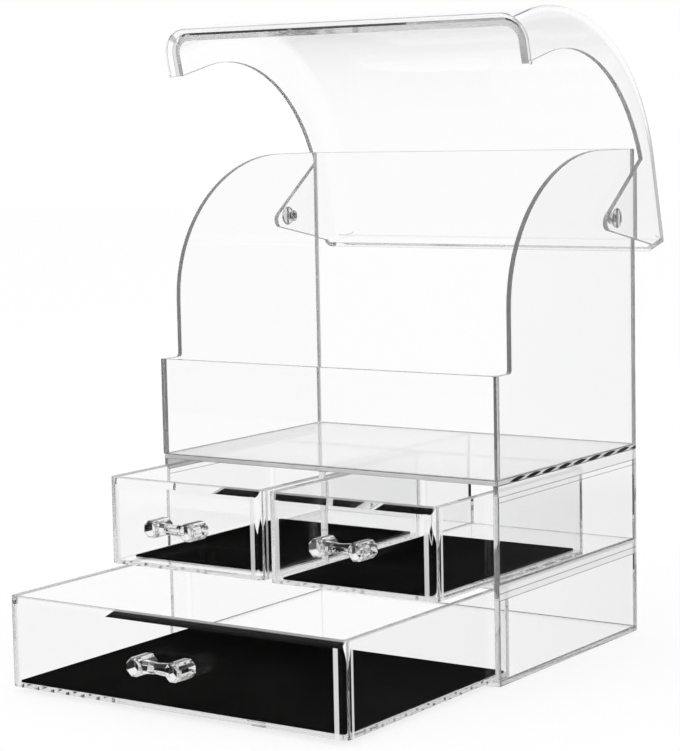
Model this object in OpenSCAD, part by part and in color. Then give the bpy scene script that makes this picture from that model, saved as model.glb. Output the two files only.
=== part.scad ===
// Clear plastic makeup organizer: a cabinet with one wide and two narrow drawers
// carries an open display box, which a hinged hood covers. X runs left to right,
// -Y is the front and +Z is up. The origin is the centre of the flat underside.
// All sizes are millimetres.

/* [Case] */
// Outside width of the cabinet and the display box
case_w = 240; // [220:1:260]
// Outside depth of the cabinet and the display box
case_d = 168; // [160:1:176]
// Thickness of the sheet that the case is made of
sheet_t = 3; // [2.6:0.1:3.4]
// Rounding of the cabinet's two front upright edges
front_edge_r = 2; // [1:0.1:2.4]

/* [Drawer cabinet] */
// Clear height of the wide lower bay
lower_bay_h = 53; // [50:1:65]
// Clear height of the two narrow upper bays
upper_bay_h = 56; // [54:1:70]
// Thickness of the wall between the two narrow drawers
divider_t = 5; // [3:0.1:8]

/* [Display box] */
// Height of the front panel above the display floor
front_panel_h = 59; // [50:1:66]
// Height of the side and back panels above the display floor
side_panel_h = 182; // [178:1:188]
// Setback of the side panels above the front panel
side_setback = 17; // [12:1:20]
// Height of the straight front edge above the setback
side_straight_h = 36; // [30:1:40]
// Depth of the rounded front shoulder of a side panel
shoulder_d = 108; // [100:1:112]
// Rounding in the inner corner of the setback
setback_r = 2; // [1:0.1:4]

/* [Hood] */
// Thickness of the moulded hood
hood_t = 3; // [2.6:0.1:3.2]
// Gap between the hood's side flanges and the side panels
hood_gap = 1; // [0.6:0.1:1.5]
// Radius of the hood's big front curve
hood_r = 118; // [114:1:120]
// Height of the closed hood above the side panels
hood_rise = 24; // [20:1:28]
// How far the closed hood stands in front of the front panel
hood_overhang = 1.5; // [0.5:0.1:2]
// Gap between the closed hood and the front panel's top edge
rim_gap = 0.2; // [0.1:0.1:0.5]
// Gap between the back panel and the hood's rear lip
rear_gap = 0.7; // [0.6:0.1:1.5]
// Rounding between the hood's curved top and its side flanges
bend_r = 12; // [9:1:14]
// Rounding between the side flanges and the rear lip
rear_bend_r = 5.4; // [4.5:0.1:5.5]
// Rounding of the fold between the top and the rear lip
fold_r = 5; // [4:0.5:8]
// Reach of the flared finger lip beyond the hood's rim
lip_reach = 5; // [3:0.5:6]
// Drop of the flared finger lip below the hood's rim
lip_drop = 3; // [1:0.5:3]
// How far the hood stands open from its closed position
open_angle = 76; // [70:1:80]

/* [Hood pivots] */
// Distance of the pivot axis from the rear face
pivot_from_back = 30.5; // [29:0.5:32]
// Distance of the pivot axis below the side panels' top edge
pivot_below_top = 41; // [39:0.5:42]
// Overlap of the hood's side flanges on the side panels' front edge
flange_overlap = 6.5; // [4:0.5:8]
// How much lower than the side panel's shoulder the flange's edge starts to curve
flange_drop = 8; // [6:1:10]
// Width of the triangular pivot ear in front of the pivot
ear_front_w = 25.5; // [22:0.5:27]
// Width of the triangular pivot ear behind the pivot
ear_rear_w = 29.5; // [27:0.5:29.5]
// Distance of the ear's sharp tip, before rounding, below the pivot
ear_drop = 20.5; // [19:0.5:24]
// Rounding of the ear's tip
ear_tip_r = 5; // [4:0.5:6]
// Radius of the pivot screw's shank
pivot_r = 2.2; // [1.8:0.1:2.6]
// Radial clearance of the pivot holes
pivot_clearance = 0.05; // [0.02:0.01:0.1]
// Radius of the pivot screw's head
screw_head_r = 5.6; // [5:0.1:6]
// Thickness of the pivot screw's head
screw_head_t = 1.8; // [1.4:0.1:2.2]
// Depth of the recess in the hood's flange for the pivot screw's head
head_recess = 2; // [1:0.1:2]
// Gap under and around the pivot screw's head in its recess
head_gap = 0.2; // [0.1:0.1:0.4]
// Width of the slot in the pivot screw's head
slot_w = 1.4; // [0.8:0.1:2]
// Depth of the slot in the pivot screw's head
slot_depth = 1; // [0.5:0.1:1.2]
// Radius of the nut inside the display box
nut_r = 3.6; // [3.4:0.1:5]
// Thickness of the nut inside the display box
nut_t = 1.5; // [1:0.1:3]

/* [Drawers] */
// Thickness of a tray's walls
tray_wall = 3; // [2:0.1:4]
// Thickness of a tray's floor
tray_floor = 2.2; // [1.5:0.1:3]
// Rounding of a tray's four upright corners
tray_corner_r = 4.5; // [4.2:0.1:8]
// Height of the bevel along the top of a tray's front
bevel_h = 4.5; // [2:0.1:6]
// Depth of the bevel along the top of a tray's front
bevel_d = 1.8; // [0.5:0.1:1.9]
// Gap between a tray and the bay walls beside it
side_gap = 0.6; // [0.4:0.1:1]
// Gap under a tray
under_gap = 0.3; // [0.2:0.1:0.5]
// Gap above the wide drawer's tray
large_top_gap = 0.3; // [0.2:0.1:4]
// Gap above the narrow drawers' trays
small_top_gap = 3.3; // [0.3:0.1:6]
// Gap behind a closed tray
rear_tray_gap = 1; // [0.5:0.5:12]
// How far the wide drawer stands open
large_open = 147; // [0:1:150]
// How far the left drawer stands open
left_open = 57; // [0:1:150]
// How far the right drawer stands open
right_open = 59; // [0:1:150]

/* [Drawer liners] */
// Thickness of the black liners
liner_t = 1; // [0.5:0.1:2]
// Rounding of a liner's corners
liner_corner_r = 1.2; // [0.5:0.1:3]
// Gap beside the wide drawer's liner
large_liner_gap = 1.5; // [1:0.1:6]
// Gap beside the narrow drawers' liners
small_liner_gap = 4.5; // [1:0.1:6]
// Gap in front of and behind a liner
liner_end_gap = 1; // [0.5:0.1:4]
// Extra setback of the left drawer's shorter liner
left_liner_setback = 11; // [0:1:20]

/* [Handles] */
// Distance between a handle's two posts
post_spacing = 26.5; // [22:0.5:32]
// Radius of a post, across its corners
post_r = 5.6; // [4:0.1:7]
// Length of a post
post_l = 15; // [13:0.1:18]
// Radius of the bar at its waist, across its corners
bar_r = 3.2; // [2.5:0.1:4]
// Radius of the bar where it meets the posts, across its corners
bar_end_r = 4.3; // [3.6:0.1:5]
// Distance of the bar's centre from the drawer front
bar_out = 9.5; // [9:0.1:10]
// Number of flat sides on a post and on its bar
facets = 8; // [6:2:10]
// Width of the bevel on a post's front face
post_bevel = 1.2; // [0.6:0.1:2]

/* [Hidden] */
$fn = 96;
clear_plastic = [0.92, 0.94, 0.95, 0.45];
liner_black = [0.06, 0.055, 0.06];
// Depth of a cut beyond the faces that it leaves
over = 1;
half_w = case_w / 2;
front_y = -case_d / 2;
back_y = case_d / 2;
inner_w = case_w - 2 * sheet_t;
inner_l = case_d - sheet_t;
lower_bay_z = sheet_t;
shelf_z = lower_bay_z + lower_bay_h;
upper_bay_z = shelf_z + sheet_t;
floor_z = upper_bay_z + upper_bay_h;
display_z = floor_z + sheet_t;
ledge_z = display_z + front_panel_h;
side_top_z = display_z + side_panel_h;
setback_y = front_y + side_setback;
shoulder_z = ledge_z + side_straight_h;
shoulder_h = side_top_z - shoulder_z;
// Hood, in its closed position
hood_half_w = half_w + hood_gap + hood_t;
hood_front_y = front_y - hood_overhang;
hood_back_y = back_y + rear_gap + hood_t;
hood_top_z = side_top_z + hood_rise;
rim_z = ledge_z + rim_gap;
curve_y = hood_front_y + hood_r;
curve_z = hood_top_z - hood_r;
pivot_y = back_y - pivot_from_back;
pivot_z = side_top_z - pivot_below_top;
flange_tip_y = setback_y + flange_overlap;
flange_edge_z = side_top_z + rear_gap;
ear_z = pivot_z - ear_drop;
ear_h = flange_edge_z - ear_z;
ear_front_angle = atan(ear_front_w / ear_h);
ear_rear_angle = atan(ear_rear_w / ear_h);
ear_half_angle = (ear_front_angle + ear_rear_angle) / 2;
ear_tilt = (ear_rear_angle - ear_front_angle) / 2;
// Drawers
tray_l = inner_l - rear_tray_gap;
large_h = lower_bay_h - under_gap - large_top_gap;
small_h = upper_bay_h - under_gap - small_top_gap;
large_w = inner_w - 2 * side_gap;
small_w = (inner_w - divider_t) / 2 - 2 * side_gap;
small_x = (inner_w + divider_t) / 4;
lower_tray_z = lower_bay_z + under_gap;
upper_tray_z = upper_bay_z + under_gap;

// An upright sheet across the case, w wide
module cross_sheet(w, y, z, h) {
    translate([-w / 2, y, z])
        cube([w, sheet_t, h]);
}

// A flat rectangle with its lower left corner at the origin and round corners
module rounded_rect(w, d, r) {
    translate([r, 0])
        square([w - 2 * r, d]);
    translate([0, r])
        square([w, d - 2 * r]);
    for (x = [r, w - r], y = [r, d - r])
        translate([x, y])
            circle(r);
}

// The cabinet's footprint, with its two front corners rounded
module footprint() {
    translate([-half_w, front_y + front_edge_r])
        square([case_w, case_d - front_edge_r]);
    translate([-half_w + front_edge_r, front_y])
        square([case_w - 2 * front_edge_r, case_d]);
    for (side = [-1, 1])
        translate([side * (half_w - front_edge_r), front_y + front_edge_r])
            circle(front_edge_r);
}

// Points of an ellipse about (y, z), from its front end up to last degrees round
function shoulder(y, z, d, h, last = 90, steps = 18) =
    [for (i = [0 : steps]) [y - d * cos(last * i / steps), z + h * sin(last * i / steps)]];

// A point at a distance and an angle from the upright through the ear's sharp tip
function from_ear_tip(distance, angle) = [pivot_y + distance * sin(angle), ear_z + distance * cos(angle)];

module base_panel() {
    color(clear_plastic)
        linear_extrude(sheet_t)
            footprint();
}

module display_floor() {
    color(clear_plastic)
        translate([0, 0, floor_z])
            linear_extrude(sheet_t)
                footprint();
}

// One side wall of the drawer cabinet, with its outer front edge rounded
module cabinet_wall(side) {
    color(clear_plastic)
        translate([0, 0, sheet_t])
            linear_extrude(floor_z - sheet_t)
                intersection() {
                    footprint();
                    translate([side * (half_w - sheet_t / 2), -sheet_t / 2])
                        square([sheet_t, inner_l], center = true);
                }
}

module left_wall() {
    cabinet_wall(-1);
}

module right_wall() {
    cabinet_wall(1);
}

module cabinet_back() {
    color(clear_plastic)
        cross_sheet(case_w, back_y - sheet_t, sheet_t, floor_z - sheet_t);
}

module middle_shelf() {
    color(clear_plastic)
        translate([-inner_w / 2, front_y, shelf_z])
            cube([inner_w, inner_l, sheet_t]);
}

module drawer_divider() {
    color(clear_plastic)
        translate([-divider_t / 2, front_y, upper_bay_z])
            cube([divider_t, inner_l, upper_bay_h]);
}

module front_panel() {
    color(clear_plastic)
        cross_sheet(case_w, front_y, display_z, front_panel_h);
}

module display_back() {
    color(clear_plastic)
        cross_sheet(case_w, back_y - sheet_t, display_z, side_panel_h);
}

// Outline of a side panel, with Y to the right and Z up
module side_outline() {
    difference() {
        polygon(concat(
            [[front_y + sheet_t, display_z], [front_y + sheet_t, ledge_z],
                [setback_y - setback_r, ledge_z], [setback_y, ledge_z + setback_r]],
            shoulder(setback_y + shoulder_d, shoulder_z, shoulder_d, shoulder_h),
            [[back_y - sheet_t, side_top_z], [back_y - sheet_t, display_z]]));
        translate([setback_y - setback_r, ledge_z + setback_r])
            circle(setback_r);
    }
}

// A hole along X for a pivot screw
module pivot_hole() {
    translate([-hood_half_w - over, pivot_y, pivot_z])
        rotate([0, 90, 0])
            cylinder(h = 2 * (hood_half_w + over), r = pivot_r + pivot_clearance);
}

// The recesses in the hood's flanges for the heads of the pivot screws
module head_recesses() {
    for (side = [-1, 1])
        translate([0, pivot_y, pivot_z])
            rotate([0, side * 90, 0])
                translate([0, 0, hood_half_w - head_recess])
                    cylinder(h = head_recess + over, r = screw_head_r + head_gap);
}

module side_panel(side) {
    color(clear_plastic)
        difference() {
            translate([side > 0 ? half_w - sheet_t : -half_w, 0, 0])
                rotate([90, 0, 90])
                    linear_extrude(sheet_t)
                        side_outline();
            pivot_hole();
        }
}

module left_side_panel() {
    side_panel(-1);
}

module right_side_panel() {
    side_panel(1);
}

// A section from x = 0 to x = h and w each way in y, with its two far corners rounded
module round_top_section(h, w, r) {
    translate([0, -w])
        square([h - r, 2 * w]);
    translate([0, -w + r])
        square([h, 2 * (w - r)]);
    for (side = [-1, 1])
        translate([h - r, side * (w - r)])
            circle(r);
}

// The closed hood's plan about its big curve's centre, with its own rounding front and back
module hood_plan(inset) {
    w = hood_half_w - inset;
    rotate(-90)
        round_top_section(hood_r - inset, w, bend_r - inset);
    rotate(90)
        round_top_section(hood_back_y - inset - curve_y, w, rear_bend_r - inset);
}

// The closed hood's side view behind and above its big curve's centre, with the fold rounded
module hood_rear_profile(inset) {
    l = hood_back_y - inset - curve_y;
    h = hood_r - inset;
    r = fold_r - inset;
    square([l - r, h]);
    square([l, h - r]);
    translate([l - r, h - r])
        circle(r);
}

// The closed hood as one solid, smaller all round by inset, down to low_z
module hood_solid(inset, low_z) {
    w = hood_half_w - inset;
    h = hood_r - inset;
    l = hood_back_y - inset - curve_y;
    translate([0, curve_y, curve_z]) {
        mirror([0, 0, 1])
            linear_extrude(curve_z - low_z)
                hood_plan(inset);
        rotate([90, 0, -90])
            rotate_extrude(angle = 90)
                round_top_section(h, w, bend_r - inset);
        intersection() {
            rotate([0, -90, -90])
                linear_extrude(l)
                    round_top_section(h, w, bend_r - inset);
            linear_extrude(h)
                hood_plan(inset);
            translate([-w, 0, 0])
                rotate([90, 0, 90])
                    linear_extrude(2 * w)
                        hood_rear_profile(inset);
        }
    }
}

// What the hood keeps in side view: the flanges, the pivot ears and the rear lip
module flange_outline() {
    tangent = ear_tip_r / tan(ear_half_angle);
    polygon(concat(
        [[hood_front_y - over, hood_top_z + over], [hood_front_y - over, rim_z], [flange_tip_y, rim_z]],
        shoulder(setback_y + shoulder_d, shoulder_z - flange_drop, shoulder_d - flange_overlap,
            flange_edge_z + rim_gap - shoulder_z + flange_drop,
            last = acos((setback_y + shoulder_d - pivot_y + ear_front_w) / (shoulder_d - flange_overlap))),
        [from_ear_tip(tangent, -ear_front_angle), from_ear_tip(tangent, ear_rear_angle),
            [pivot_y + ear_rear_w, flange_edge_z], [hood_back_y + over, flange_edge_z],
            [hood_back_y + over, hood_top_z + over]]));
    translate(from_ear_tip(ear_tip_r / sin(ear_half_angle), ear_tilt))
        circle(ear_tip_r);
}

// Section of the flared finger lip, reaching out along x from the rim's outer face. Its underside
// is flat until it is past the front panel's corner.
module lip_section() {
    root = hood_overhang / 2;
    corner_reach = norm([bend_r - hood_gap - hood_t, bend_r - hood_overhang]) - bend_r + hood_gap / 2;
    polygon([[-root, rim_z], [-root, rim_z + hood_t], [lip_reach, rim_z + hood_t / 2 - lip_drop],
        [lip_reach, rim_z - lip_drop], [corner_reach, rim_z]]);
}

// The flared lip round the front rim: along the front, round both corners and down both flanges
module finger_lip() {
    corner_y = hood_front_y + bend_r;
    corner_x = hood_half_w - bend_r;
    translate([corner_x, hood_front_y, 0])
        rotate([90, 0, -90])
            linear_extrude(2 * corner_x)
                lip_section();
    for (turn = [0, 1])
        mirror([turn, 0, 0]) {
            translate([corner_x, corner_y, 0])
                rotate(-90)
                    rotate_extrude(angle = 90)
                        translate([bend_r, 0])
                            lip_section();
            translate([hood_half_w, corner_y, 0])
                mirror([0, 1, 0])
                    rotate([90, 0, 0])
                        linear_extrude(flange_tip_y - corner_y)
                            lip_section();
        }
}

module hood_lid() {
    color(clear_plastic)
        translate([0, pivot_y, pivot_z])
            rotate([-open_angle, 0, 0])
                translate([0, -pivot_y, -pivot_z])
                    difference() {
                        union() {
                            intersection() {
                                difference() {
                                    hood_solid(0, rim_z);
                                    hood_solid(hood_t, rim_z - over);
                                }
                                translate([-hood_half_w, 0, 0])
                                    rotate([90, 0, 90])
                                        linear_extrude(2 * hood_half_w)
                                            flange_outline();
                            }
                            finger_lip();
                        }
                        pivot_hole();
                        head_recesses();
                    }
}

// A screw whose head lies in the flange's recess and whose shank ends flush with the nut
module pivot_screw(side) {
    inner_x = half_w - sheet_t - nut_t;
    head_x = hood_half_w - head_recess + head_gap;
    color(clear_plastic)
        translate([0, pivot_y, pivot_z])
            rotate([0, side * 90, 0])
                difference() {
                    union() {
                        translate([0, 0, inner_x])
                            cylinder(h = head_x - inner_x, r = pivot_r);
                        translate([0, 0, head_x])
                            cylinder(h = screw_head_t, r = screw_head_r);
                    }
                    translate([-screw_head_r, -slot_w / 2, head_x + screw_head_t - slot_depth])
                        cube([2 * screw_head_r, slot_w, slot_depth + over]);
                }
}

module left_pivot_screw() {
    pivot_screw(-1);
}

module right_pivot_screw() {
    pivot_screw(1);
}

// A round nut against the inside of a side panel
module pivot_nut(side) {
    color(clear_plastic)
        translate([0, pivot_y, pivot_z])
            rotate([0, side * 90, 0])
                translate([0, 0, half_w - sheet_t - nut_t])
                    difference() {
                        cylinder(h = nut_t, r = nut_r);
                        translate([0, 0, -over])
                            cylinder(h = nut_t + 2 * over, r = pivot_r + pivot_clearance);
                    }
}

module left_pivot_nut() {
    pivot_nut(-1);
}

module right_pivot_nut() {
    pivot_nut(1);
}

// An open tray w wide and h high, standing open from its closed place at the cabinet's front
module tray(w, h, x, z, open) {
    color(clear_plastic)
        translate([x - w / 2, front_y - open, z])
            difference() {
                linear_extrude(h)
                    rounded_rect(w, tray_l, tray_corner_r);
                translate([tray_wall, tray_wall, tray_floor])
                    linear_extrude(h)
                        rounded_rect(w - 2 * tray_wall, tray_l - 2 * tray_wall,
                            tray_corner_r - tray_wall);
                translate([-over, 0, h])
                    rotate([90, 0, 90])
                        linear_extrude(w + 2 * over)
                            polygon([[0, -bevel_h], [bevel_d, 0], [bevel_d, over], [-over, over],
                                [-over, -bevel_h]]);
            }
}

// A thin black mat on the floor of a tray that is w wide
module liner(w, x, z, open, gap, setback) {
    liner_w = w - 2 * (tray_wall + gap);
    near_y = tray_wall + liner_end_gap + setback;
    color(liner_black)
        translate([x - liner_w / 2, front_y - open + near_y, z + tray_floor])
            linear_extrude(liner_t)
                rounded_rect(liner_w, tray_l - tray_wall - liner_end_gap - near_y, liner_corner_r);
}

// A straight length of faceted rod along z, with a flat facet facing +y
module faceted_rod(h, r1, r2) {
    rotate(180 / facets)
        cylinder(h = h, r1 = r1, r2 = r2, $fn = facets);
}

// A clear dog-bone handle: two faceted posts on the drawer front and a waisted bar between them
module handle(x, z, open) {
    color(clear_plastic)
        translate([x, front_y - open, z]) {
            for (side = [-1, 1])
                translate([side * post_spacing / 2, 0, 0])
                    rotate([90, 0, 0]) {
                        faceted_rod(post_l - post_bevel, post_r, post_r);
                        translate([0, 0, post_l - post_bevel])
                            faceted_rod(post_bevel, post_r, post_r - post_bevel);
                    }
            for (side = [-1, 1])
                translate([0, -bar_out, 0])
                    rotate([0, side * 90, 0])
                        faceted_rod(post_spacing / 2, bar_r, bar_end_r);
        }
}

module large_tray() {
    tray(large_w, large_h, 0, lower_tray_z, large_open);
}

module large_liner() {
    liner(large_w, 0, lower_tray_z, large_open, large_liner_gap, 0);
}

module large_handle() {
    handle(0, lower_tray_z + large_h / 2, large_open);
}

module left_tray() {
    tray(small_w, small_h, -small_x, upper_tray_z, left_open);
}

module left_liner() {
    liner(small_w, -small_x, upper_tray_z, left_open, small_liner_gap, left_liner_setback);
}

module left_handle() {
    handle(-small_x, upper_tray_z + small_h / 2, left_open);
}

module right_tray() {
    tray(small_w, small_h, small_x, upper_tray_z, right_open);
}

module right_liner() {
    liner(small_w, small_x, upper_tray_z, right_open, small_liner_gap, 0);
}

module right_handle() {
    handle(small_x, upper_tray_z + small_h / 2, right_open);
}

base_panel();
left_wall();
right_wall();
cabinet_back();
middle_shelf();
drawer_divider();
display_floor();
front_panel();
left_side_panel();
right_side_panel();
display_back();
hood_lid();
left_pivot_screw();
right_pivot_screw();
left_pivot_nut();
right_pivot_nut();
large_tray();
large_liner();
large_handle();
left_tray();
left_liner();
left_handle();
right_tray();
right_liner();
right_handle();
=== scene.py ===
"""Looks of the clear makeup organizer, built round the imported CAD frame. Units are metres."""

import math

import bpy
from mathutils import Matrix, Vector

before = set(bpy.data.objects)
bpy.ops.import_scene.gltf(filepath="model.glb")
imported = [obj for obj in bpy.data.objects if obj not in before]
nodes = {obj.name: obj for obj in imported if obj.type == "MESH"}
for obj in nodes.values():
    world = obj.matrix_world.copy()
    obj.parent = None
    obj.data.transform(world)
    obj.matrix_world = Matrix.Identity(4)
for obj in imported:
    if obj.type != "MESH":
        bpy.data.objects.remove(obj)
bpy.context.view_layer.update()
scene = bpy.context.scene

# The photograph's height in pixels and the camera solved from its straight edges
PHOTO_HEIGHT = 751
FOCAL_PX = 2270.67
SENSOR_MM = 36
CLIP_START = 0.05
AZIMUTH, ELEVATION, ROLL = math.radians(34.789), math.radians(6.301), math.radians(-1.157)
CAMERA_AT = Vector((0.76562, -1.16544, 0.31811))

# The floor: its lit level, and the part of it that the camera sees as lit, which keeps the shadow
FLOOR_HALF = 6.0
FLOOR_Z = -0.0004
FLOOR_TONE = 0.9
FLOOR_LIT = 0.93
FLOOR_SHADED = 0.2

# Levels in a surface's first reflection: the floor near the object, and the floor far away and
# the horizon, with the reach of the change along the floor and up the sky
FLOOR_MIRRORED = 0.05
MIRRORED_FAR = 0.5
MIRRORED_REACH = (0.6, 0.95)
MIRRORED_SKY = (0.0, 0.06)

# The world's light on the object, and each lamp's place and power
SOFT_LIGHT = 0.9
LAMP_SIZE = 1.4
LAMP_AIM = Vector((0, 0, 0.15))
LAMPS = {"key": ((-0.9, -1.3, 1.7), 4.0), "fill": ((1.4, -0.2, 1.5), 2.0)}

# The clear plastic and its broken edges, whose grey EDGE_TONE is painted shade
PLASTIC_IOR = 1.49
REFLECTIVITY = 0.1
SHADOW_CLEAR = 0.97
ABSORBED = 0.2
EDGE_TONE = 0.4
EDGE_ROUGHNESS = (0.08, 0.2)

# Scales of the noises, per metre
CLOUD_SCALE = 18
GLOSS_SCALE = 260
RIPPLE_SCALE = 30
SCUFF_SCALE = 220
GRAIN_SCALE = 2200
PATCH_SCALE = 25

# Mesh: the hair of air at joints, and what is welded, flattened, rounded and shaded smooth
JOINT_AIR = 0.00001
WELD_REACH = 2e-6
FLAT_ANGLE = math.radians(0.2)
ARRIS_ANGLE = math.radians(30)
SMOOTH_ANGLE = math.radians(20)
FLAT_WEIGHT = 95

# The case: just inside its outer sides, the side sheets' inner faces and the front
CASE_SIDE = 0.1198
CASE_SHEET_INNER = 0.1168
CASE_FRONT = -0.0839
DISPLAY_FLOOR_TOP = 0.118
DISPLAY_FLOOR_MIDDLE, DISPLAY_FLOOR_HALF = 0.1165, 0.0015
OVER_DISPLAY_FLOOR = 0.1185
OVER_FRONT_PANEL = 0.1772

# Painted light on the case's side sheets: the dark dashes of painted reflection, with their start,
# spacing, height, slant and half height, the grey bands of painted shade with their heights and half
# heights, and the fine lines of painted shade with their heights and half height
REFLECTION_DASHES_FROM, REFLECTION_DASH_STEP = -0.0705, 0.0183
REFLECTION_DASH_LOW, REFLECTION_DASH_RISE, REFLECTION_DASH_HALF = 0.1157, 0.0014, 0.0011
SHADE_BANDS = ((0.1132, 0.0049), (0.0538, 0.0044))
SHADE_LINES = (0.1084, 0.1053, 0.0533, 0.0494)
SHADE_LINE_HALF = 0.0003

# The hood's flanges: just outside their inner faces
FLANGE_INNER = 0.1212

# Each tray's middle, half width, front and top
TRAYS = {
    "large_tray": (0, 0.1164, -0.231, 0.0557),
    "left_tray": (-0.05975, 0.05665, -0.141, 0.1117),
    "right_tray": (0.05975, 0.05665, -0.143, 0.1117),
}
# Depth of the band of painted shade under a tray's top rim, and its painted highlights' distance from the
# corner and half width
SHADED_RIM_DEPTH = 0.0010
FRONT_HIGHLIGHT = (0.0064, 0.0015)
SIDE_HIGHLIGHT = (0.0057, 0.0010)
SKIN = 0.0001


def make_camera():
    back = Vector((
        math.sin(AZIMUTH) * math.cos(ELEVATION),
        -math.cos(AZIMUTH) * math.cos(ELEVATION),
        math.sin(ELEVATION),
    ))
    right = (-back).cross(Vector((0, 0, 1))).normalized()
    up = right.cross(-back)
    c, s = math.cos(ROLL), math.sin(ROLL)
    x_axis = c * right + s * up
    y_axis = -s * right + c * up
    matrix = Matrix((x_axis, y_axis, back)).transposed().to_4x4()
    matrix.translation = CAMERA_AT
    data = bpy.data.cameras.new("camera")
    data.sensor_width = SENSOR_MM
    data.lens = FOCAL_PX * SENSOR_MM / PHOTO_HEIGHT
    data.clip_start = CLIP_START
    camera = bpy.data.objects.new("camera", data)
    camera.matrix_world = matrix
    scene.collection.objects.link(camera)
    scene.camera = camera


def tree_of(owner):
    owner.use_nodes = True
    tree = owner.node_tree
    tree.nodes.clear()
    return tree


def add(tree, kind, **values):
    node = tree.nodes.new(kind)
    for name, item in values.items():
        if name in node.inputs:
            node.inputs[name].default_value = item
        else:
            setattr(node, name, item)
    return node


def value(tree, socket, number):
    """Links a socket, or sets a plain number or colour."""
    if hasattr(number, "is_linked"):
        tree.links.new(number, socket)
    else:
        socket.default_value = number


def math_node(tree, operation, first, second=0.0, third=0.0):
    node = add(tree, "ShaderNodeMath", operation=operation)
    for socket, number in zip(node.inputs, (first, second, third)):
        value(tree, socket, number)
    return node.outputs[0]


def both(tree, first, second):
    return math_node(tree, "MULTIPLY", first, second)


def either(tree, first, second):
    return math_node(tree, "MAXIMUM", first, second)


def above(tree, number, bound):
    return math_node(tree, "GREATER_THAN", number, bound)


def below(tree, number, bound):
    return math_node(tree, "LESS_THAN", number, bound)


def size_of(tree, number):
    return math_node(tree, "ABSOLUTE", number)


def band(tree, coordinate, centre, half_width):
    """1 within half_width of the centre, 0 outside."""
    return math_node(tree, "COMPARE", coordinate, centre, half_width)


def blend(tree, factor, first, second):
    node = add(tree, "ShaderNodeMix", data_type="FLOAT")
    for socket, number in zip((node.inputs[0], node.inputs[2], node.inputs[3]), (factor, first, second)):
        value(tree, socket, number)
    return node.outputs[0]


def blend_colour(tree, factor, first, second):
    node = add(tree, "ShaderNodeMix", data_type="RGBA")
    for socket, colour in zip((node.inputs[0], node.inputs[6], node.inputs[7]), (factor, first, second)):
        value(tree, socket, colour)
    return node.outputs[2]


def ramp(tree, number, low, high, first, last):
    """A smooth step from first to last while the number goes from low to high."""
    node = add(tree, "ShaderNodeMapRange", interpolation_type="SMOOTHSTEP")
    names = ("Value", "From Min", "From Max", "To Min", "To Max")
    for name, item in zip(names, (number, low, high, first, last)):
        value(tree, node.inputs[name], item)
    return node.outputs["Result"]


def grey(level, warmth=0.0):
    return (level * (1 + warmth), level, level * (1 - warmth), 1)


def noise(tree, place, scale, detail=2.0):
    node = add(tree, "ShaderNodeTexNoise", Scale=scale, Detail=detail)
    tree.links.new(place, node.inputs["Vector"])
    return node.outputs["Fac"]


def split(tree, vector):
    node = add(tree, "ShaderNodeSeparateXYZ")
    tree.links.new(vector, node.inputs[0])
    return node.outputs


def seen_ray(tree):
    """1 for rays that see the studio itself: from the camera, a reflection or through glass."""
    path = add(tree, "ShaderNodeLightPath")
    total = path.outputs["Is Camera Ray"]
    for name in ("Is Glossy Ray", "Is Transmission Ray"):
        total = either(tree, total, path.outputs[name])
    return total


def studio_level(tree, mirrored):
    """Full brightness, but the given level in a surface's first reflection."""
    depth = add(tree, "ShaderNodeLightPath").outputs["Glossy Depth"]
    return blend(tree, band(tree, depth, 1.0, 0.1), 1.0, mirrored)


def make_world():
    world = bpy.data.worlds.new("studio")
    scene.world = world
    tree = tree_of(world)
    soft = add(tree, "ShaderNodeBackground", Color=grey(1), Strength=SOFT_LIGHT)
    height = split(tree, add(tree, "ShaderNodeTexCoord").outputs["Generated"])["Z"]
    white = add(tree, "ShaderNodeBackground", Color=grey(1))
    dimmed = ramp(tree, height, *MIRRORED_SKY, MIRRORED_FAR, 1.0)
    tree.links.new(studio_level(tree, dimmed), white.inputs["Strength"])
    mix = add(tree, "ShaderNodeMixShader")
    out = add(tree, "ShaderNodeOutputWorld")
    tree.links.new(seen_ray(tree), mix.inputs[0])
    tree.links.new(soft.outputs[0], mix.inputs[1])
    tree.links.new(white.outputs[0], mix.inputs[2])
    tree.links.new(mix.outputs[0], out.inputs["Surface"])


def make_lamp(name, place, power):
    data = bpy.data.lights.new(name, "AREA")
    data.shape = "DISK"
    data.size = LAMP_SIZE
    data.energy = power
    lamp = bpy.data.objects.new(name, data)
    lamp.location = place
    lamp.rotation_euler = (LAMP_AIM - Vector(place)).to_track_quat("-Z", "Y").to_euler()
    lamp.visible_glossy = False
    lamp.visible_transmission = False
    scene.collection.objects.link(lamp)


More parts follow.
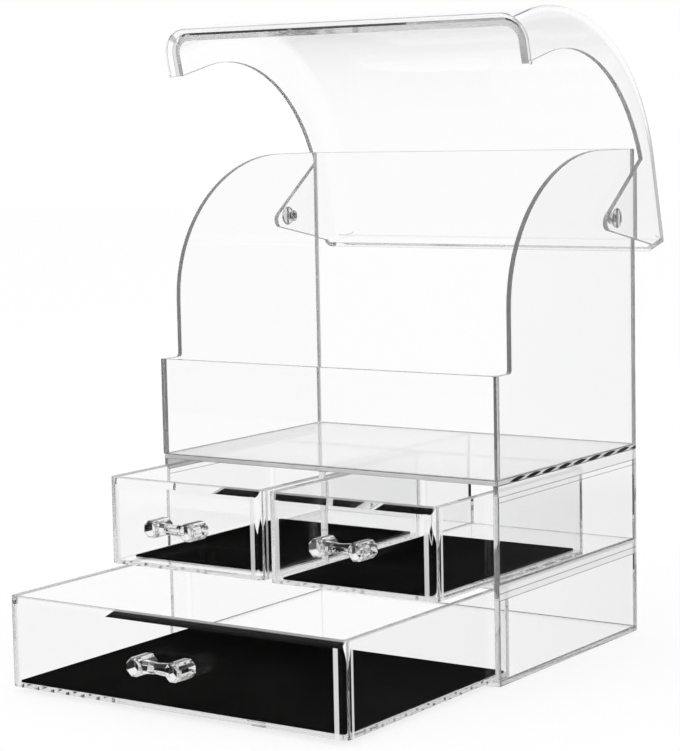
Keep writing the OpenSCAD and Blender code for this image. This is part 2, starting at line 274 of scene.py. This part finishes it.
def make_floor():
    mesh = bpy.data.meshes.new("floor")
    r, z = FLOOR_HALF, FLOOR_Z
    mesh.from_pydata([(-r, -r, z), (r, -r, z), (r, r, z), (-r, r, z)], [], [(0, 1, 2, 3)])
    floor = bpy.data.objects.new("floor", mesh)
    scene.collection.objects.link(floor)
    mat = bpy.data.materials.new("floor")
    tree = tree_of(mat)
    lit = add(tree, "ShaderNodeBsdfDiffuse", Color=grey(FLOOR_TONE))
    glow = add(tree, "ShaderNodeEmission")
    away = add(tree, "ShaderNodeVectorMath", operation="LENGTH")
    tree.links.new(add(tree, "ShaderNodeTexCoord").outputs["Object"], away.inputs[0])
    mirrored = ramp(tree, away.outputs["Value"], *MIRRORED_REACH, FLOOR_MIRRORED, MIRRORED_FAR)
    tree.links.new(studio_level(tree, mirrored), glow.inputs["Strength"])
    # What the camera sees is mostly white, with part of the lit floor, so that the shadow stays
    shaded = add(tree, "ShaderNodeBsdfDiffuse", Color=grey(FLOOR_SHADED))
    plain = add(tree, "ShaderNodeEmission", Strength=1 - FLOOR_SHADED * FLOOR_LIT)
    seen = add(tree, "ShaderNodeAddShader")
    tree.links.new(shaded.outputs[0], seen.inputs[0])
    tree.links.new(plain.outputs[0], seen.inputs[1])
    through = add(tree, "ShaderNodeMixShader")
    mix = add(tree, "ShaderNodeMixShader")
    out = add(tree, "ShaderNodeOutputMaterial")
    path = add(tree, "ShaderNodeLightPath")
    tree.links.new(seen_ray(tree), through.inputs[0])
    tree.links.new(lit.outputs[0], through.inputs[1])
    tree.links.new(glow.outputs[0], through.inputs[2])
    tree.links.new(path.outputs["Is Camera Ray"], mix.inputs[0])
    tree.links.new(through.outputs[0], mix.inputs[1])
    tree.links.new(seen.outputs[0], mix.inputs[2])
    tree.links.new(mix.outputs[0], out.inputs["Surface"])
    mesh.materials.append(mat)


def shaded_edges(tree, x, inner):
    """1 on the edges of upright side sheets, where shade is painted: beyond their inner faces and not
    facing sideways.
    """
    facing = split(tree, add(tree, "ShaderNodeTexCoord").outputs["Normal"])["X"]
    across = below(tree, size_of(tree, facing), 0.5)
    return both(tree, across, above(tree, size_of(tree, x), inner))


def satin_and_shade(tree, mask, looks, tone, clear, roughness):
    """Changes colour to a grey of painted shade, and roughness and clearness to a satin finish, where the
    mask is 1.
    """
    colour, rough, weight = looks
    return (blend_colour(tree, mask, colour, grey(tone)),
            blend(tree, mask, rough, roughness),
            blend(tree, mask, weight, clear))


def mark_case(tree, place, looks):
    """Painted light on the case: dark dashes of painted reflection along the display floor's side edges,
    bands and fine lines of painted shade under it and the middle shelf, the floor's clouded top, which
    stands in for a painted reflection, its satin front edge, and painted shade on the side panels' edges."""
    x, y, z = split(tree, place)
    side = above(tree, size_of(tree, x), CASE_SIDE)
    # Dashes of painted reflection: near-black spots sloping along the display floor's side edges
    along = math_node(tree, "ADD", y, -REFLECTION_DASHES_FROM)
    phase = math_node(tree, "FRACT", math_node(tree, "DIVIDE", along, REFLECTION_DASH_STEP))
    middle = math_node(tree, "MULTIPLY_ADD", phase, REFLECTION_DASH_RISE, REFLECTION_DASH_LOW)
    swell = math_node(tree, "SINE", math_node(tree, "MULTIPLY", phase, math.pi))
    swell = math_node(tree, "MULTIPLY", swell, REFLECTION_DASH_HALF)
    off_middle = size_of(tree, math_node(tree, "SUBTRACT", z, middle))
    reflection_dash = both(tree, below(tree, off_middle, swell), above(tree, y, REFLECTION_DASHES_FROM))
    reflection_dash = both(tree, reflection_dash, side)
    # Painted shade: light grey bands and fine dark lines on the side sheets under the display floor and
    # the middle shelf
    shade_band = either(tree, *(band(tree, z, *place_of) for place_of in SHADE_BANDS))
    shade_band = both(tree, shade_band, side)
    line = 0.0
    for height in SHADE_LINES:
        line = either(tree, band(tree, z, height, SHADE_LINE_HALF), line)
    line = both(tree, line, side)
    # The display floor's top is clouded to stand in for a painted reflection of the white studio
    top = band(tree, z, DISPLAY_FLOOR_TOP, SKIN)
    nose = both(tree, below(tree, y, CASE_FRONT), band(tree, z, DISPLAY_FLOOR_MIDDLE, DISPLAY_FLOOR_HALF))
    # The shoulder's edge shows over the front panel, and the rear one down to the display floor
    lowest = blend(tree, above(tree, y, 0.0), OVER_FRONT_PANEL, OVER_DISPLAY_FLOOR)
    # The side panels' edges, where shade is painted
    shaded_edge = both(tree, shaded_edges(tree, x, CASE_SHEET_INNER), above(tree, z, lowest))

    colour, rough, weight = looks
    # Painted shade: the bands turn light grey and less clear, the fine lines dark grey
    colour = blend_colour(tree, shade_band, colour, grey(0.93))
    colour = blend_colour(tree, line, colour, grey(0.35))
    # Painted reflection: the dashes turn near black and less clear
    colour = blend_colour(tree, reflection_dash, colour, grey(0.004))
    weight = blend(tree, either(tree, shade_band, reflection_dash), weight, 0.35)
    # Painted reflection: the clouded top lets only half through; the front edge is half clear too
    weight = blend(tree, either(tree, top, nose), weight, 0.5)
    # Painted shade: a grey tone of 0.42 on the side panels' edges, with a satin finish
    return satin_and_shade(tree, shaded_edge, (colour, rough, weight), 0.42, 0.72, 0.35)


def mark_hood(tree, place, looks):
    """The hood's flange edges: a satin finish with a grey tone of painted shade."""
    shaded_edge = shaded_edges(tree, split(tree, place)["X"], FLANGE_INNER)
    # Painted shade: a grey tone of 0.65 on the flanges' edges
    return satin_and_shade(tree, shaded_edge, looks, 0.65, 0.84, 0.25)


def mark_tray(box):
    """Marks of a moulded tray: painted shade on and under its top rim, and painted highlights on the
    inner sides of its front corners.
    """
    x0, half, front, top = box

    def mark(tree, place, looks):
        x, y, z = split(tree, place)
        shaded_rim = above(tree, z, top - SKIN)
        shade_under_rim = above(tree, z, top - SHADED_RIM_DEPTH)
        across = size_of(tree, math_node(tree, "SUBTRACT", x, x0))
        # Painted highlights on the inner sides of the front corners
        front_highlight = both(tree, band(tree, across, half - FRONT_HIGHLIGHT[0], FRONT_HIGHLIGHT[1]),
                          below(tree, y, front + SKIN))
        side_highlight = both(tree, band(tree, y, front + SIDE_HIGHLIGHT[0], SIDE_HIGHLIGHT[1]),
                         above(tree, across, half - SKIN))
        colour, rough, weight = looks
        # Painted shade: a light grey, less clear band under the top rim and a darker grey top rim
        colour = blend_colour(tree, shade_under_rim, colour, grey(0.8))
        colour = blend_colour(tree, shaded_rim, colour, grey(0.45))
        # Painted highlight: the corner strips are made less clear so that they show bright
        weight = blend(tree, either(tree, front_highlight, side_highlight), weight, 0.25)
        return colour, rough, blend(tree, shade_under_rim, weight, 0.6)

    return mark


def clear_plastic(name, tone, ripple, haze, density, mark=None):
    """Clear plastic with faint unevenness of tone, gloss and surface at the plastic's own scale."""
    mat = bpy.data.materials.new(name)
    tree = tree_of(mat)
    place = add(tree, "ShaderNodeTexCoord").outputs["Object"]
    cloud = noise(tree, place, CLOUD_SCALE)
    colour = blend_colour(tree, cloud, grey(tone - 0.006, -0.001), grey(min(tone + 0.002, 1)))
    scuffs = math_node(tree, "POWER", noise(tree, place, GLOSS_SCALE, 4), 3)
    looks = colour, blend(tree, scuffs, 0.0, haze), 1.0
    if mark:
        looks = mark(tree, place, looks)
    shader = add(tree, "ShaderNodeBsdfPrincipled", IOR=PLASTIC_IOR)
    for socket, look in zip(("Base Color", "Roughness", "Transmission Weight"), looks):
        value(tree, shader.inputs[socket], look)
    shader.inputs["Specular Tint"].default_value = grey(REFLECTIVITY)
    if ripple:
        bump = add(tree, "ShaderNodeBump", Strength=1.0, Distance=ripple)
        tree.links.new(noise(tree, place, RIPPLE_SCALE, 1), bump.inputs["Height"])
        tree.links.new(bump.outputs[0], shader.inputs["Normal"])
    out = finish_clear(tree, shader)
    absorb = add(tree, "ShaderNodeVolumeAbsorption", Color=grey(ABSORBED), Density=density)
    tree.links.new(absorb.outputs[0], out.inputs["Volume"])
    return mat


def finish_clear(tree, shader):
    """Lets lamp light through a clear shader with little loss and ends the material."""
    through = add(tree, "ShaderNodeBsdfTransparent", Color=grey(SHADOW_CLEAR))
    path = add(tree, "ShaderNodeLightPath")
    mix = add(tree, "ShaderNodeMixShader")
    out = add(tree, "ShaderNodeOutputMaterial")
    tree.links.new(path.outputs["Is Shadow Ray"], mix.inputs[0])
    tree.links.new(shader.outputs[0], mix.inputs[1])
    tree.links.new(through.outputs[0], mix.inputs[2])
    tree.links.new(mix.outputs[0], out.inputs["Surface"])
    return out


def painted_shade_edge(name):
    """The broken edges of clear plastic: a dark grey tone that is painted shade, dulled and lightly
    varied by a scuff noise.
    """
    mat = bpy.data.materials.new(name)
    tree = tree_of(mat)
    place = add(tree, "ShaderNodeTexCoord").outputs["Object"]
    scuff = noise(tree, place, SCUFF_SCALE, 2)
    shader = add(tree, "ShaderNodeBsdfPrincipled", IOR=PLASTIC_IOR)
    shader.inputs["Transmission Weight"].default_value = 1.0
    # Painted shade: the edges' dark grey tone
    tone = blend_colour(tree, scuff, grey(EDGE_TONE * 0.92), grey(EDGE_TONE))
    value(tree, shader.inputs["Base Color"], tone)
    value(tree, shader.inputs["Roughness"], blend(tree, scuff, *EDGE_ROUGHNESS))
    shader.inputs["Specular Tint"].default_value = grey(REFLECTIVITY)
    finish_clear(tree, shader)
    return mat


def liner_material():
    """Matte black foam with a fine grain and slightly rubbed patches."""
    mat = bpy.data.materials.new("liner")
    tree = tree_of(mat)
    place = add(tree, "ShaderNodeTexCoord").outputs["Object"]
    grain = noise(tree, place, GRAIN_SCALE, 3)
    patch = noise(tree, place, PATCH_SCALE, 3)
    shader = add(tree, "ShaderNodeBsdfPrincipled")
    shader.inputs["Specular IOR Level"].default_value = 0.0
    rubbed = math_node(tree, "MULTIPLY", grain, patch)
    tone = blend_colour(tree, rubbed, grey(0.003), grey(0.022, 0.04))
    value(tree, shader.inputs["Base Color"], tone)
    value(tree, shader.inputs["Roughness"], blend(tree, patch, 0.7, 0.95))
    bump = add(tree, "ShaderNodeBump", Strength=0.6, Distance=0.0002)
    tree.links.new(grain, bump.inputs["Height"])
    tree.links.new(bump.outputs[0], shader.inputs["Normal"])
    out = add(tree, "ShaderNodeOutputMaterial")
    tree.links.new(shader.outputs[0], out.inputs["Surface"])
    return mat


def sharp_normals():
    """Geometry nodes that drop the imported normals and shade smooth up to SMOOTH_ANGLE."""
    tree = bpy.data.node_groups.new("sharp_normals", "GeometryNodeTree")
    tree.interface.new_socket("Mesh", in_out="INPUT", socket_type="NodeSocketGeometry")
    tree.interface.new_socket("Mesh", in_out="OUTPUT", socket_type="NodeSocketGeometry")
    source = tree.nodes.new("NodeGroupInput")
    target = tree.nodes.new("NodeGroupOutput")
    angle = tree.nodes.new("GeometryNodeInputMeshEdgeAngle")
    over = tree.nodes.new("FunctionNodeCompare")
    over.operation = "GREATER_THAN"
    over.inputs[1].default_value = SMOOTH_ANGLE
    setter = tree.nodes.new("GeometryNodeSetMeshNormal")
    setter.mode = "SHARPNESS"
    setter.inputs["Remove Custom"].default_value = True
    tree.links.new(source.outputs[0], setter.inputs["Mesh"])
    tree.links.new(angle.outputs["Unsigned Angle"], over.inputs[0])
    tree.links.new(over.outputs[0], setter.inputs["Edge Sharpness"])
    tree.links.new(setter.outputs[0], target.inputs[0])
    return tree


def finish_edges(obj, width, normals, edge):
    """Welds the mesh, leaves a hair of air at its joints and breaks its sharp edges."""
    obj.data.materials.append(edge)
    weld = obj.modifiers.new("weld", "WELD")
    weld.merge_threshold = WELD_REACH
    merge = obj.modifiers.new("planes", "DECIMATE")
    merge.decimate_type = "DISSOLVE"
    merge.angle_limit = FLAT_ANGLE
    shrink = obj.modifiers.new("joint", "DISPLACE")
    shrink.strength = -JOINT_AIR
    shrink.mid_level = 0
    bevel = obj.modifiers.new("arris", "BEVEL")
    bevel.width = width
    bevel.segments = 2
    bevel.limit_method = "ANGLE"
    bevel.angle_limit = ARRIS_ANGLE
    bevel.material = 1
    shade = obj.modifiers.new("shade", "NODES")
    shade.node_group = normals
    flat = obj.modifiers.new("flat", "WEIGHTED_NORMAL")
    flat.weight = FLAT_WEIGHT
    flat.keep_sharp = True


make_camera()
make_world()
make_floor()
for name, (place, power) in LAMPS.items():
    make_lamp(name, place, power)

# Finish of each kind of plastic (tone, ripple, haze, density) and the width of its broken edges
finishes = {
    "case_sheet": (clear_plastic("case sheet", 0.998, 0, 0.004, 2.0, mark_case), 0.0003),
    "hood_plastic": (clear_plastic("hood plastic", 0.997, 0.000012, 0.006, 1.5, mark_hood), 0.0004),
    "handle_plastic": (clear_plastic("handle plastic", 0.995, 0, 0.02, 6.0), 0.00015),
    "pivot_plastic": (clear_plastic("pivot plastic", 0.97, 0, 0.08, 150.0), 0.00015),
}
tray_finishes = {
    name: (clear_plastic(name.replace("_", " "), 0.997, 0.000008, 0.006, 2.0, mark_tray(box)), 0.0003)
    for name, box in TRAYS.items()
}
# Bevel material with a grey tone of painted shade
edge = painted_shade_edge("edge with painted shade")
normals = sharp_normals()
foam = liner_material()
for name, obj in nodes.items():
    kind = obj.material_slots[0].material.name
    finish, width = tray_finishes.get(name) or finishes.get(kind) or (foam, 0)
    obj.material_slots[0].material = finish
    if width:
        finish_edges(obj, width, normals, edge)

scene.view_settings.view_transform = "Standard"
scene.cycles.max_bounces = 96
scene.cycles.transmission_bounces = 96
scene.cycles.glossy_bounces = 96
scene.cycles.transparent_max_bounces = 48
